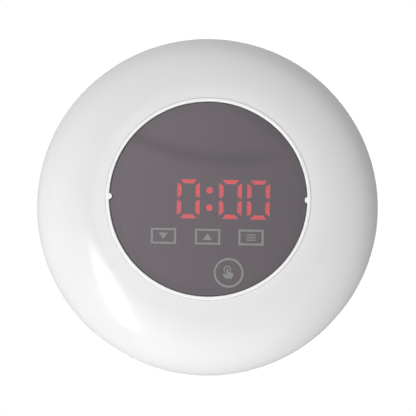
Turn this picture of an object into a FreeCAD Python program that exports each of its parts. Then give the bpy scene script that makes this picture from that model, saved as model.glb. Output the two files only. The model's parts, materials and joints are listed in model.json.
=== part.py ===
import FreeCAD, Part
import math
import os
import Sketcher

# Round wall timer: a domed casing around a dark mirror window with a four digit display and touch keys.
# Millimetres. The disc axis is Y, the window looks towards -Y and the wall is at y = 0. Z is up.
# Depths are distances from the wall towards the window, so a depth of d is at y = -d.

SIZES = {
    # casing outline
    "body_radius": 87.0,
    "rim_depth": 19.0,
    "rim_land": 0.6,
    "crown_radius": 51.5,
    "crown_depth": 40.5,
    "back_radius": 62.0,
    "seam_depth": 14.5,
    "wall": 2.4,
    "rim_inner_radius": 83.6,
    "tongue_outer_radius": 83.4,
    "tongue_inner_radius": 82.0,
    "tongue_depth": 17.5,
    # seat of the window
    "ledge_inner_radius": 44.5,
    "ledge_outer_radius": 54.0,
    "ledge_front_depth": 37.2,
    "ledge_back_depth": 35.2,
    # bezel ring and its two nubs
    "ring_outer_radius": 51.4,
    "ring_inner_radius": 49.6,
    "ring_depth": 41.0,
    "ring_round": 0.45,
    "nub_radius": 1.5,
    "nub_centre": 49.7,
    "nub_depth": 41.1,
    "nub_back_depth": 38.4,
    # window
    "lens_radius": 49.3,
    "lens_front_depth": 39.8,
    "lens_back_depth": 37.8,
    "lens_chamfer": 0.25,
    "lens_notch_radius": 1.85,
    "gasket_outer_radius": 49.0,
    "gasket_inner_radius": 45.2,
    # printed legends
    "ink": 0.06,
    "key_width": 12.6,
    "key_height": 8.0,
    "key_line": 1.03,
    "key_level": 19.4,
    "left_key_x": -22.0,
    "middle_key_x": 0.0,
    "right_key_x": 21.7,
    "touch_radius": 7.44,
    "touch_x": 10.8,
    "touch_level": 37.4,
    "glyph_height": 3.4,
    "glyph_half_width": 2.3,
    # display module
    "display_x": 0.6,
    "display_width": 76.0,
    "display_height": 28.0,
    "display_front_depth": 37.0,
    "display_back_depth": 30.5,
    "digit_height": 19.9,
    "digit_width": 11.4,
    "digit_pitch": 14.05,
    "first_digit_offset": 10.55,
    "stroke": 2.15,
    "segment_gap": 0.75,
    "colon_radius": 1.68,
    "colon_rise": 4.45,
    "window_clearance": 0.02,
    "segment_thickness": 1.0,
    "led_side": 0.9,
    "led_thickness": 0.35,
    "pin_radius": 0.3,
    "pin_pitch": 5.08,
    "pin_row": 11.0,
    "pin_tip_depth": 26.8,
    # front circuit board
    "board_radius": 52.0,
    "board_front_depth": 29.3,
    "board_back_depth": 27.7,
    "board_post_offset": 34.0,
    "board_post_radius": 3.0,
    "board_screw_radius": 1.2,
    "board_screw_tip_depth": 33.2,
    "chip_side": 10.0,
    "chip_height": 1.5,
    "chip_x": 20.0,
    "chip_z": -30.0,
    "lead_pitch": 1.0,
    "lead_length": 1.2,
    "capacitor_radius": 2.5,
    "capacitor_height": 5.5,
    # touch springs
    "spring_radius": 3.4,
    "spring_wire": 0.3,
    "spring_pitch": 1.6,
    # casing screws
    "case_screw_x": 46.0,
    "case_screw_z": 44.0,
    "case_screw_radius": 1.45,
    "case_head_radius": 2.9,
    "case_head_height": 2.0,
    "case_head_depth": 2.2,
    "case_boss_radius": 3.6,
    "case_boss_depth": 8.0,
    "case_boss_front_depth": 37.6,
    "case_screw_tip_depth": 20.0,
    # wall keyholes
    "keyhole_x": 40.0,
    "keyhole_radius": 4.5,
    "keyhole_slot_radius": 2.1,
    "keyhole_rise": 7.0,
    "pocket_width": 13.6,
    "pocket_height": 20.8,
    "pocket_wall": 1.4,
    "pocket_depth": 9.0,
    # rubber pads
    "pad_radius": 6.0,
    "pad_recess": 0.4,
    "pad_proud": 0.8,
    "upper_pad_x": 28.0,
    "upper_pad_z": 42.0,
    "lower_pad_x": 50.0,
    "lower_pad_z": -18.0,
    # battery bay
    "bay_width": 58.0,
    "bay_height": 46.0,
    "bay_level": -29.0,
    "bay_depth": 17.4,
    "bay_back_depth": 19.0,
    "tub_width": 69.0,
    "tub_height": 53.9,
    "cell_radius": 7.1,
    "cell_pitch": 15.2,
    "cell_length": 50.5,
    "cell_button_radius": 2.7,
    "cell_button_height": 1.2,
    "cell_crimp": 0.5,
    "cell_depth": 10.3,
    "contact_thickness": 0.4,
    "contact_width": 11.0,
    "contact_dimple": 0.5,
    "contact_dimple_radius": 2.2,
    "contact_spring_radius": 3.6,
    "contact_spring_wire": 0.35,
    "tab_width": 3.2,
    "tab_length": 6.6,
    "tab_depth": 12.0,
    # battery door
    "door_width": 63.0,
    "door_height": 50.0,
    "door_thickness": 2.0,
    "door_gap": 0.35,
    "door_seat_gap": 0.3,
    "barrel_radius": 1.6,
    "trunnion_radius": 0.9,
    "trunnion_length": 1.5,
    "trunnion_clearance": 0.06,
    "tongue_width": 14.0,
    "tongue_slot": 1.0,
    "tongue_height": 8.0,
    "foam_thickness": 0.8,
    # speaker
    "speaker_z": 31.0,
    "speaker_radius": 18.2,
    "speaker_rib_inner": 18.4,
    "speaker_rib_outer": 20.0,
    "speaker_flange_depth": 4.0,
    "speaker_gasket": 0.6,
    "speaker_basket_depth": 8.6,
    "speaker_magnet_radius": 8.5,
    "speaker_magnet_depth": 13.0,
    "speaker_clip_circle": 22.3,
    "speaker_boss_radius": 2.6,
    "clip_thickness": 0.8,
    "small_screw_radius": 0.95,
    "small_head_radius": 1.9,
    "small_head_height": 1.2,
    "screw_clearance": 0.03,
    "grille_hole_radius": 1.0,
    "grille_ring_step": 4.3,
    # power switch
    "switch_x": 48.0,
    "switch_z": 22.0,
    "switch_travel": 3.0,
    "knob_width": 4.0,
    "knob_height": 2.8,
    "knob_clearance": 0.3,
    "knob_front_depth": 6.5,
    "knob_back_depth": 0.3,
    "switch_recess": 1.0,
    "switch_ear_offset": 8.5,
    "switch_seat_depth": 4.6,
    "switch_front_depth": 9.6,
    # charging board and socket
    "port_depth": 10.5,
    "socket_width": 8.94,
    "socket_height": 3.26,
    "socket_length": 7.3,
    "socket_mouth_z": -79.9,
    "socket_shell": 0.3,
    "port_recess_width": 13.0,
    "port_recess_height": 6.6,
    "port_recess_z": -80.4,
    "charge_board_width": 24.0,
    "charge_board_top_z": -57.5,
    "charge_board_bottom_z": -78.4,
    "charge_board_thickness": 1.2,
    "charge_post_x": 8.5,
    "charge_post_z": -61.0,
    "charge_post_radius": 2.4,
    # wiring
    "wire_radius": 0.55,
    "ribbon_width": 10.0,
    "ribbon_thickness": 0.6,
    "plug_height": 3.2,
}

Vector = FreeCAD.Vector
TOWARDS_WALL = FreeCAD.Rotation(Vector(1, 0, 0), -90)
ALONG_X = FreeCAD.Rotation(Vector(0, 1, 0), 90)
UPRIGHT = FreeCAD.Rotation()

doc = FreeCAD.newDocument("RoundTimer")
sheet = doc.addObject("Spreadsheet::Sheet", "Dims")
nodes = []


def write_sheet():
    for row, (name, size) in enumerate(SIZES.items(), start=1):
        sheet.set(f"A{row}", name)
        sheet.set(f"B{row}", str(size))
        sheet.setAlias(f"B{row}", name)
    doc.recompute()


def value(expression):
    """The number an expression on the sheet gives."""
    result = sheet.evalExpression(str(expression))
    return float(getattr(result, "Value", result))


def bind(item, **expressions):
    for name, expression in expressions.items():
        item.setExpression(name, str(expression))


def move(item, x, y, z):
    for axis, expression in zip("xyz", (x, y, z)):
        item.setExpression(f"Placement.Base.{axis}", str(expression))


def finish_node(item, label):
    item.Label = label
    nodes.append(item)
    return item


# Primitives, each bound to the sheet


def cylinder(name, radius, length, rotation, x, y, z):
    item = doc.addObject("Part::Cylinder", name)
    bind(item, Radius=radius, Height=length)
    item.Placement = FreeCAD.Placement(Vector(), rotation)
    move(item, x, y, z)
    return item


def rod(name, radius, x, z, deep, shallow):
    """A cylinder along Y between two depths."""
    return cylinder(name, radius, f"({deep})-({shallow})", TOWARDS_WALL, x, f"-({deep})", z)


def bar(name, radius, start, end, y, z):
    return cylinder(name, radius, f"({end})-({start})", ALONG_X, start, y, z)


def pillar(name, radius, x, y, low, high):
    return cylinder(name, radius, f"({high})-({low})", UPRIGHT, x, y, low)


def block(name, x, width, z, height, deep, shallow):
    """A box centred on x and z, between two depths."""
    item = doc.addObject("Part::Box", name)
    bind(item, Length=width, Width=f"({deep})-({shallow})", Height=height)
    move(item, f"({x})-({width})/2", f"-({deep})", f"({z})-({height})/2")
    return item


def fuse(name, items):
    item = doc.addObject("Part::MultiFuse", name)
    item.Shapes = items
    return item


def cut(name, base, tools):
    item = doc.addObject("Part::Cut", name)
    item.Base = base
    item.Tool = tools[0] if len(tools) == 1 else fuse(f"{name}_cutters", tools)
    return item


def group(name, items):
    item = doc.addObject("Part::Compound", name)
    item.Links = items
    return item


def stadium(name, x, y, low, high, width, thickness):
    """A flat-sided slot shape standing along Z."""
    half_run = f"(({width})-({thickness}))/2"
    middle = doc.addObject("Part::Box", f"{name}_middle")
    bind(middle, Length=f"({width})-({thickness})", Width=thickness, Height=f"({high})-({low})")
    move(middle, f"({x})-{half_run}", f"({y})-({thickness})/2", low)
    ends = [
        pillar(f"{name}_end_{side}", f"({thickness})/2", f"({x})+({side})*{half_run}", y, low, high)
        for side in (-1, 1)
    ]
    return fuse(name, [middle] + ends)


def solid_from_code(name, shape, x="0", y="0", z="0"):
    """A shape made by Part functions, placed by the sheet."""
    item = doc.addObject("Part::Feature", name)
    item.Shape = Part.makeCompound([shape])
    move(item, x, y, z)
    return item


# Sketches


def pin(sketch, geometry, point, x=None, y=None):
    for kind, expression in (("DistanceX", x), ("DistanceY", y)):
        if expression is None:
            continue
        distance = Sketcher.Constraint(kind, -1, 1, geometry, point, value(expression))
        index = sketch.addConstraint(distance)
        sketch.setExpression(f"Constraints[{index}]", str(expression))


def add_line(sketch, start, end):
    line = Part.LineSegment(Vector(*start, 0), Vector(*end, 0))
    return sketch.addGeometry(line, False), 1, 2


def add_ellipse_arc(sketch, start, end, curve):
    """An arc of an ellipse whose long axis lies along the sketch's x."""
    centre_x, centre_y, across, along = curve
    x, y, a, b = (value(term) for term in curve)
    angles = [math.atan2((point[1] - y) / b, (point[0] - x) / a) for point in (start, end)]
    forward = (angles[1] - angles[0]) % (2 * math.pi) < math.pi
    first, last = angles if forward else reversed(angles)
    if last < first:
        last += 2 * math.pi
    arc = Part.ArcOfEllipse(Part.Ellipse(Vector(x, y, 0), a, b), first, last)
    index = sketch.addGeometry(arc, False)
    sketch.exposeInternalGeometry(index)
    pin(sketch, index, 3, centre_x, centre_y)
    pin(sketch, index + 1, 1, f"({centre_x})+({across})", centre_y)
    pin(sketch, index + 2, 1, None, f"({centre_y})+({along})")
    return (index, 1, 2) if forward else (index, 2, 1)


def outline(sketch, corners, curves=None):
    """A closed loop. A corner's third item names the one coordinate to pin where a curve gives the other."""
    curves = curves or {}
    points = [(value(corner[0]), value(corner[1])) for corner in corners]
    edges = []
    for index, start in enumerate(points):
        end = points[(index + 1) % len(points)]
        if index in curves:
            edges.append(add_ellipse_arc(sketch, start, end, curves[index]))
        else:
            edges.append(add_line(sketch, start, end))
    for index, (geometry, first, last) in enumerate(edges):
        following = edges[(index + 1) % len(edges)]
        meet = Sketcher.Constraint("Coincident", geometry, last, following[0], following[1])
        sketch.addConstraint(meet)
        corner = corners[index]
        pinned = corner[2] if len(corner) == 3 else "xy"
        pin(sketch, geometry, first, corner[0] if "x" in pinned else None,
            corner[1] if "y" in pinned else None)


def sketch_on(body, role, name, offset="0"):
    sketch = body.newObject("Sketcher::SketchObject", name)
    plane = next(item for item in body.Origin.OriginFeatures if item.Role == role)
    sketch.AttachmentSupport = [(plane, "")]
    sketch.MapMode = "FlatFace"
    sketch.setExpression("AttachmentOffset.Base.z", str(offset))
    return sketch


def turned(name, corners, curves=None, axis="V_Axis"):
    """A body turned from a half section drawn on the XY plane, about Y or, with H_Axis, about X."""
    body = doc.addObject("PartDesign::Body", name)
    sketch = sketch_on(body, "XY_Plane", f"{name}_section")
    outline(sketch, corners, curves)
    feature = body.newObject("PartDesign::Revolution", f"{name}_turn")
    feature.Profile = sketch
    feature.ReferenceAxis = (sketch, [axis])
    feature.Angle = 360
    body.Tip = feature
    doc.recompute()
    return body


def padded(name, corners, deep, shallow):
    """A flat body padded from an outline in X and Z, between two depths."""
    body = doc.addObject("PartDesign::Body", name)
    sketch = sketch_on(body, "XZ_Plane", f"{name}_outline", shallow)
    outline(sketch, corners)
    feature = body.newObject("PartDesign::Pad", f"{name}_pad")
    feature.Profile = sketch
    bind(feature, Length=f"({deep})-({shallow})")
    body.Tip = feature
    doc.recompute()
    return body


def ring_corners(inner, outer, deep, shallow):
    return [(inner, f"-({deep})"), (outer, f"-({deep})"), (outer, f"-({shallow})"), (inner, f"-({shallow})")]


def round_edges(body, radius, wanted, kind="PartDesign::Fillet"):
    """Fillet or chamfer the edges of the body's tip that the test picks."""
    tip = body.Tip
    names = [f"Edge{number}" for number, edge in enumerate(tip.Shape.Edges, start=1) if wanted(edge)]
    feature = body.newObject(kind, f"{body.Name}_{'round' if kind.endswith('Fillet') else 'bevel'}")
    feature.Base = (tip, names)
    if kind.endswith("Fillet"):
        bind(feature, Radius=radius)
    else:
        bind(feature, Size=radius)
    body.Tip = feature
    doc.recompute()


def at_depth(depth):
    """A test for edges that lie wholly at one depth."""
    level = -value(depth)

    def test(edge):
        return all(abs(vertex.Point.y - level) < 1e-4 for vertex in edge.Vertexes) and abs(
            edge.CenterOfMass.y - level
        ) < 1e-4

    return test


# Casing


FRONT_CURVE = (
    "Dims.crown_radius",
    "-Dims.rim_depth",
    "Dims.body_radius-Dims.crown_radius",
    "Dims.crown_depth-Dims.rim_depth",
)
FRONT_INNER_CURVE = (
    "Dims.crown_radius",
    "-Dims.rim_depth",
    "Dims.rim_inner_radius-Dims.crown_radius",
    "Dims.crown_depth-Dims.rim_depth-Dims.wall",
)
REAR_CURVE = (
    "Dims.back_radius",
    "Dims.rim_land-Dims.rim_depth",
    "Dims.body_radius-Dims.back_radius",
    "Dims.rim_depth-Dims.rim_land",
)
REAR_INNER_CURVE = (
    "Dims.back_radius",
    "Dims.rim_land-Dims.rim_depth",
    "Dims.tongue_inner_radius-Dims.back_radius",
    "Dims.rim_depth-Dims.rim_land-Dims.wall",
)


def radius_on(curve, y):
    """The radius at which a casing curve crosses a level, as an expression."""
    centre_x, centre_y, across, along = curve
    return f"({centre_x})+({across})*sqrt(1-((({y})-({centre_y}))/({along}))^2)"


def level_on(curve, x):
    """The front level of a casing curve at a radius, as an expression."""
    centre_x, centre_y, across, along = curve
    return f"({centre_y})-({along})*sqrt(1-((({x})-({centre_x}))/({across}))^2)"


def corner_signs():
    return [(right, up) for right in (-1, 1) for up in (-1, 1)]


def make_front_shell():
    corners = [
        ("Dims.crown_radius", "-Dims.crown_depth", "x"),
        ("Dims.body_radius", "-Dims.rim_depth", "y"),
        ("Dims.body_radius", "Dims.rim_land-Dims.rim_depth", "y"),
        (radius_on(REAR_CURVE, "-Dims.seam_depth"), "-Dims.seam_depth", "y"),
        ("Dims.rim_inner_radius", "-Dims.seam_depth"),
        ("Dims.rim_inner_radius", "-Dims.rim_depth", "y"),
        ("Dims.ledge_outer_radius", level_on(FRONT_INNER_CURVE, "Dims.ledge_outer_radius"), "x"),
        ("Dims.ledge_outer_radius", "-Dims.ledge_back_depth"),
        ("Dims.ledge_inner_radius", "-Dims.ledge_back_depth"),
        ("Dims.ledge_inner_radius", "-Dims.ledge_front_depth"),
        ("Dims.crown_radius", "-Dims.ledge_front_depth"),
    ]
    curves = {0: FRONT_CURVE, 2: REAR_CURVE, 5: FRONT_INNER_CURVE}
    dome = turned("front_dome", corners, curves)
    posts = []
    pilots = []
    for right, up in corner_signs():
        tag = f"{'r' if right > 0 else 'l'}{'u' if up > 0 else 'd'}"
        x, z = f"{right}*Dims.case_screw_x", f"{up}*Dims.case_screw_z"
        posts.append(
            rod(f"case_post_{tag}", "Dims.case_boss_radius", x, z, "Dims.case_boss_front_depth",
                "Dims.case_boss_depth")
        )
        pilot = "Dims.case_screw_radius+Dims.screw_clearance"
        pilots.append(rod(f"case_pilot_{tag}", pilot, x, z, "Dims.case_screw_tip_depth+2",
                          "Dims.case_boss_depth-1"))
        x, z = f"{right}*Dims.board_post_offset", f"{up}*Dims.board_post_offset"
        front, back = "Dims.ledge_back_depth+0.8", "Dims.board_front_depth"
        posts.append(rod(f"board_post_{tag}", "Dims.board_post_radius", x, z, front, back))
        pilot = "Dims.board_screw_radius+Dims.screw_clearance"
        pilots.append(rod(f"board_pilot_{tag}", pilot, x, z, "Dims.board_screw_tip_depth+0.6", f"{back}-1"))
    finish_node(cut("front_shell_cut", fuse("front_shell_body", [dome] + posts), pilots), "front_shell")


def make_bezel_ring():
    corners = ring_corners(
        "Dims.ring_inner_radius", "Dims.ring_outer_radius", "Dims.ring_depth", "Dims.ledge_front_depth"
    )
    ring = turned("ring_turned", corners)
    round_edges(ring, "Dims.ring_round", at_depth("Dims.ring_depth"))
    nubs = [
        rod(f"nub_{side}", "Dims.nub_radius", f"{side}*Dims.nub_centre", "0", "Dims.nub_depth",
            "Dims.nub_back_depth")
        for side in (-1, 1)
    ]
    finish_node(fuse("bezel_ring_body", [ring] + nubs), "bezel_ring")


def make_display_lens():
    corners = [
        ("0", "-Dims.lens_front_depth"),
        ("Dims.lens_radius", "-Dims.lens_front_depth"),
        ("Dims.lens_radius", "-Dims.lens_back_depth"),
        ("0", "-Dims.lens_back_depth"),
    ]
    disc = turned("lens_disc", corners)
    round_edges(disc, "Dims.lens_chamfer", at_depth("Dims.lens_front_depth"), "PartDesign::Chamfer")
    notches = [
        rod(f"notch_{side}", "Dims.lens_notch_radius", f"{side}*Dims.nub_centre", "0",
            "Dims.lens_front_depth+1", "Dims.lens_back_depth-1")
        for side in (-1, 1)
    ]
    finish_node(cut("lens_cut", disc, notches), "display_lens")


def make_lens_gasket():
    corners = ring_corners(
        "Dims.gasket_inner_radius", "Dims.gasket_outer_radius",
        "Dims.lens_back_depth", "Dims.ledge_front_depth"
    )
    finish_node(turned("lens_gasket_ring", corners), "lens_gasket")


# Printed legends


def ink_block(name, x, width, z, height):
    return block(name, x, width, z, height, "Dims.lens_front_depth+Dims.ink", "Dims.lens_front_depth")


def ink_disc(name, radius, x, z):
    return rod(name, radius, x, z, "Dims.lens_front_depth+Dims.ink", "Dims.lens_front_depth")


def ink_polygon(name, points, x, z):
    """A flat printed shape from points given about its own centre."""
    front = -value("Dims.lens_front_depth+Dims.ink")
    corners = [Vector(px, 0, pz) for px, pz in points]
    face = Part.Face(Part.makePolygon(corners + corners[:1]))
    film = face.extrude(Vector(0, value("Dims.ink"), 0))
    return solid_from_code(name, film, x, front, z)


def key_frame(name, x):
    level = "-Dims.key_level"
    outer = ink_block(f"{name}_outer", x, "Dims.key_width", level, "Dims.key_height")
    inner_width = "Dims.key_width-2*Dims.key_line"
    inner_height = "Dims.key_height-2*Dims.key_line"
    inner = block(f"{name}_inner", x, inner_width, level, inner_height,
                  "Dims.lens_front_depth+1", "Dims.lens_front_depth-1")
    return cut(name, outer, [inner])


def arrow_points(direction):
    half = value("Dims.glyph_half_width")
    tall = value("Dims.glyph_height") / 2
    points = [(-half, -tall * direction), (half, -tall * direction), (0.0, tall * direction)]
    return points if direction > 0 else points[::-1]


def tap_icon():
    """A pressing finger: a small ring, a straight finger through it and a blocky hand."""
    x, level = "Dims.touch_x", "-Dims.touch_level"
    ring_x, ring_z = f"{x}-0.6", f"{level}+1.65"
    ring = cut(
        "tap_ring",
        ink_disc("tap_ring_outer", "1.9", ring_x, ring_z),
        [
            rod("tap_ring_inner", "1.4", ring_x, ring_z, "Dims.lens_front_depth+1",
                "Dims.lens_front_depth-1"),
            block("tap_ring_opening", ring_x, "1.5", f"{ring_z}-1.6", "1.2",
                  "Dims.lens_front_depth+1", "Dims.lens_front_depth-1"),
        ],
    )
    tip = ink_disc("tap_finger_tip", "0.5", ring_x, f"{ring_z}+0.1")
    finger = ink_block("tap_finger", ring_x, "1.0", f"{ring_z}-1.5", "3.2")
    hand = ink_polygon(
        "tap_hand",
        [(-0.5, 0.2), (-0.5, -0.9), (-1.9, -0.3), (-2.2, -1.0), (-1.0, -2.9),
         (2.2, -2.9), (2.9, -1.6), (2.9, 0.0), (0.5, 0.2)],
        ring_x,
        f"{ring_z}-1.6",
    )
    return [ring, fuse("tap_pointer", [tip, finger, hand])]


def make_key_legends():
    frames = [key_frame(f"{side}_key_frame", f"Dims.{side}_key_x") for side in ("left", "middle", "right")]
    level = "-Dims.key_level"
    glyphs = [
        ink_polygon("left_key_arrow", arrow_points(-1), "Dims.left_key_x", level),
        ink_polygon("middle_key_arrow", arrow_points(1), "Dims.middle_key_x", level),
    ]
    glyphs += [
        ink_block(f"right_key_bar_{row}", "Dims.right_key_x", "Dims.glyph_half_width*2",
                  f"{level}+({row})*1.3", "0.6")
        for row in (-1, 0, 1)
    ]
    ring = cut(
        "touch_ring",
        ink_disc("touch_ring_outer", "Dims.touch_radius", "Dims.touch_x", "-Dims.touch_level"),
        [rod("touch_ring_inner", "Dims.touch_radius-Dims.key_line", "Dims.touch_x", "-Dims.touch_level",
             "Dims.lens_front_depth+1", "Dims.lens_front_depth-1")],
    )
    finish_node(group("key_legends_film", frames + glyphs + [ring] + tap_icon()), "key_legends")


# Display module


def segment_outline(grow=0.0):
    """The flat outlines of a digit's seven segments about its centre, by name, each grown by a clearance."""
    half_width = value("Dims.digit_width") / 2
    half_height = value("Dims.digit_height") / 2
    stroke = value("Dims.stroke")
    gap = value("Dims.segment_gap")
    reach = half_width - gap * 2
    top = [
        (-reach - grow, half_height + grow),
        (reach + grow, half_height + grow),
        (reach - stroke * 0.85 + grow, half_height - stroke - grow),
        (-reach + stroke * 0.85 - grow, half_height - stroke - grow),
    ]
    side = [
        (half_width + grow, half_height - gap * 2 + grow),
        (half_width + grow, gap - grow),
        (half_width - stroke * 0.5, gap - grow),
        (half_width - stroke - grow, gap + stroke * 0.5 - grow),
        (half_width - stroke - grow, half_height - gap * 2 - stroke * 0.85 + grow),
    ]
    half_stroke = stroke / 2
    middle = [
        (-reach - grow, 0.0),
        (-reach + half_stroke - grow, half_stroke + grow),
        (reach - half_stroke + grow, half_stroke + grow),
        (reach + grow, 0.0),
        (reach - half_stroke + grow, -half_stroke - grow),
        (-reach + half_stroke - grow, -half_stroke - grow),
    ]
    middle = [(x * 0.86, z) for x, z in middle]
    return {
        "top": top,
        "bottom": [(x, -z) for x, z in top],
        "upper_right": side,
        "lower_right": [(x, -z) for x, z in side],
        "upper_left": [(-x, z) for x, z in side],
        "lower_left": [(-x, -z) for x, z in side],
        "middle": middle,
    }


def prism(points, centre_x, deep, shallow):
    """An outline in X and Z as a solid between two depths."""
    corners = [Vector(centre_x + x, -deep, z) for x, z in points]
    face = Part.Face(Part.makePolygon(corners + corners[:1]))
    return face.extrude(Vector(0, deep - shallow, 0))


def digit_centres():
    first = value("Dims.first_digit_offset")
    pitch = value("Dims.digit_pitch")
    middle = value("Dims.display_x")
    return [middle - first - pitch, middle - first, middle + first, middle + first + pitch]


def colon_discs(radius, deep, shallow):
    rise = value("Dims.colon_rise")
    middle = value("Dims.display_x")
    return [
        Part.makeCylinder(radius, deep - shallow, Vector(middle, -deep, side * rise), Vector(0, 1, 0))
        for side in (-1, 1)
    ]


def make_display_housing():
    """A black block with a light well behind every segment and colon dot."""
    front = value("Dims.display_front_depth")
    back = value("Dims.display_back_depth")
    clearance = value("Dims.window_clearance")
    wells = [
        prism(points, centre, front + 1, back - 1)
        for centre in digit_centres()
        for points in segment_outline(clearance).values()
    ]
    wells += colon_discs(value("Dims.colon_radius") + clearance, front + 1, back - 1)
    cutter = solid_from_code("display_wells", Part.makeCompound(wells))
    frame = block("display_block", "Dims.display_x", "Dims.display_width", "0", "Dims.display_height",
                  "Dims.display_front_depth", "Dims.display_back_depth")
    finish_node(cut("display_frame", frame, [cutter]), "display_housing")


def make_segments():
    """The light guides in the wells: lit for the three zeros and the colon, unlit for the rest."""
    front = value("Dims.display_front_depth")
    back = front - value("Dims.segment_thickness")
    lit = colon_discs(value("Dims.colon_radius"), front, back)
    unlit = []
    for place, centre in enumerate(digit_centres()):
        for name, points in segment_outline().items():
            shows = place > 0 and name != "middle"
            (lit if shows else unlit).append(prism(points, centre, front, back))
    finish_node(solid_from_code("lit_segment_guides", Part.makeCompound(lit)), "lit_segments")
    finish_node(solid_from_code("unlit_segment_guides", Part.makeCompound(unlit)), "unlit_segments")


def make_segment_leds():
    side = value("Dims.led_side")
    base = value("Dims.display_back_depth")
    thick = value("Dims.led_thickness")
    spots = []
    for centre in digit_centres():
        for points in segment_outline().values():
            x = sum(point[0] for point in points) / len(points)
            z = sum(point[1] for point in points) / len(points)
            spots.append((centre + x, z))
    spots += [(value("Dims.display_x"), sign * value("Dims.colon_rise")) for sign in (-1, 1)]
    chips = [
        Part.makeBox(side, thick, side, Vector(x - side / 2, -base - thick, z - side / 2)) for x, z in spots
    ]
    finish_node(solid_from_code("led_chips", Part.makeCompound(chips)), "segment_leds")


def make_display_substrate():
    item = block("display_substrate_plate", "Dims.display_x", "Dims.display_width-1",
                 "0", "Dims.display_height-1",
                 "Dims.display_back_depth", "Dims.board_front_depth")
    finish_node(item, "display_substrate")


def pin_places():
    return [
        (f"Dims.display_x+({column})*Dims.pin_pitch", f"({row})*Dims.pin_row")
        for row in (-1, 1)
        for column in (-3, -2, -1, 0, 1, 2, 3)
    ]


def make_display_pins():
    pins = [
        rod(f"display_pin_{number}", "Dims.pin_radius", x, z, "Dims.board_front_depth", "Dims.pin_tip_depth")
        for number, (x, z) in enumerate(pin_places(), start=1)
    ]
    finish_node(group("display_pin_rows", pins), "display_pins")


# Front circuit board


def make_front_board():
    corners = [
        ("0", "-Dims.board_front_depth"),
        ("Dims.board_radius", "-Dims.board_front_depth"),
        ("Dims.board_radius", "-Dims.board_back_depth"),
        ("0", "-Dims.board_back_depth"),
    ]
    disc = turned("front_board_disc", corners)
    deep, shallow = "Dims.board_front_depth+1", "Dims.board_back_depth-1"
    holes = [
        rod(f"board_pin_hole_{number}", "Dims.pin_radius+0.05", x, z, deep, shallow)
        for number, (x, z) in enumerate(pin_places(), start=1)
    ]
    for number, (right, up) in enumerate(corner_signs(), start=1):
        x, z = f"{right}*Dims.board_post_offset", f"{up}*Dims.board_post_offset"
        holes.append(rod(f"board_screw_hole_{number}", "Dims.board_screw_radius+0.2", x, z, deep, shallow))
    finish_node(cut("front_board_cut", disc, holes), "front_board")


def screw(name, shank_radius, head_radius, head_height, x, z, tip, seat):
    """A pan head screw driven towards the window, its head resting at the seat depth."""
    shank = rod(f"{name}_shank", shank_radius, x, z, tip, seat)
    head = rod(f"{name}_head", head_radius, x, z, seat, f"{seat}-({head_height})")
    drive = [
        block(f"{name}_slot_{turn}", x, f"({head_radius})*({1.2 if turn == 0 else 0.3})", z,
              f"({head_radius})*({0.3 if turn == 0 else 1.2})",
              f"{seat}-({head_height})*0.45", f"{seat}-({head_height})-1")
        for turn in (0, 1)
    ]
    return cut(name, fuse(f"{name}_body", [shank, head]), drive)


def make_board_screws():
    screws = [
        screw(f"board_screw_{number}", "Dims.board_screw_radius", "2.3", "1.5",
              f"{right}*Dims.board_post_offset", f"{up}*Dims.board_post_offset",
              "Dims.board_screw_tip_depth", "Dims.board_back_depth")
        for number, (right, up) in enumerate(corner_signs(), start=1)
    ]
    finish_node(group("board_screw_set", screws), "board_screws")


def make_control_chip():
    corners = [
        (f"Dims.chip_x+({right})*Dims.chip_side/2", f"Dims.chip_z+({up})*Dims.chip_side/2")
        for right, up in ((-1, -1), (1, -1), (1, 1), (-1, 1))
    ]
    top = "Dims.board_back_depth-Dims.chip_height"
    body = padded("control_chip_case", corners, "Dims.board_back_depth-0.1", top)
    round_edges(body, "0.25", at_depth(top), "PartDesign::Chamfer")
    finish_node(body, "control_chip")


def make_chip_leads():
    deep, shallow = "Dims.board_back_depth", "Dims.board_back_depth-0.6"
    leads = []
    reach = "(Dims.chip_side+Dims.lead_length)/2"
    for side in (-1, 1):
        for place in (-4, -3, -2, -1, 0, 1, 2, 3, 4):
            tag = f"{'a' if side > 0 else 'b'}{place + 5}"
            step = f"({place})*Dims.lead_pitch"
            leads.append(block(f"lead_x{tag}", f"Dims.chip_x+({side})*{reach}", "Dims.lead_length",
                               f"Dims.chip_z+{step}", "0.4", deep, shallow))
            leads.append(block(f"lead_z{tag}", f"Dims.chip_x+{step}", "0.4",
                               f"Dims.chip_z+({side})*{reach}", "Dims.lead_length", deep, shallow))
    finish_node(group("chip_lead_set", leads), "chip_leads")


def make_capacitors():
    items = [
        rod(f"capacitor_{number}", "Dims.capacitor_radius", x, z,
            "Dims.board_back_depth", "Dims.board_back_depth-Dims.capacitor_height")
        for number, (x, z) in enumerate((("-26", "-30"), ("-34", "12"), ("36", "12")), start=1)
    ]
    finish_node(group("capacitor_set", items), "capacitors")


def coil(radius, wire, pitch, length):
    """A round wire coil standing along Y from y = 0 to y = length, wound as half turns that lean up it."""
    rise = length - 2 * wire
    count = 2 * round(rise / pitch)
    ends = [Vector(radius * (-1) ** step, wire + rise * step / count, 0) for step in range(count + 1)]
    halves = []
    for step, (start, end) in enumerate(zip(ends, ends[1:])):
        reach = Vector(0, 0, (-1) ** step * start.distanceToPoint(end) / 2)
        halves.append(Part.Arc(start, (start + end) / 2 + reach, end).toShape())
    circle = Part.Circle(ends[0], Vector(0, 0, 1), wire)
    return Part.Wire(halves).makePipeShell([Part.Wire([circle.toShape()])], True, False)


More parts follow.
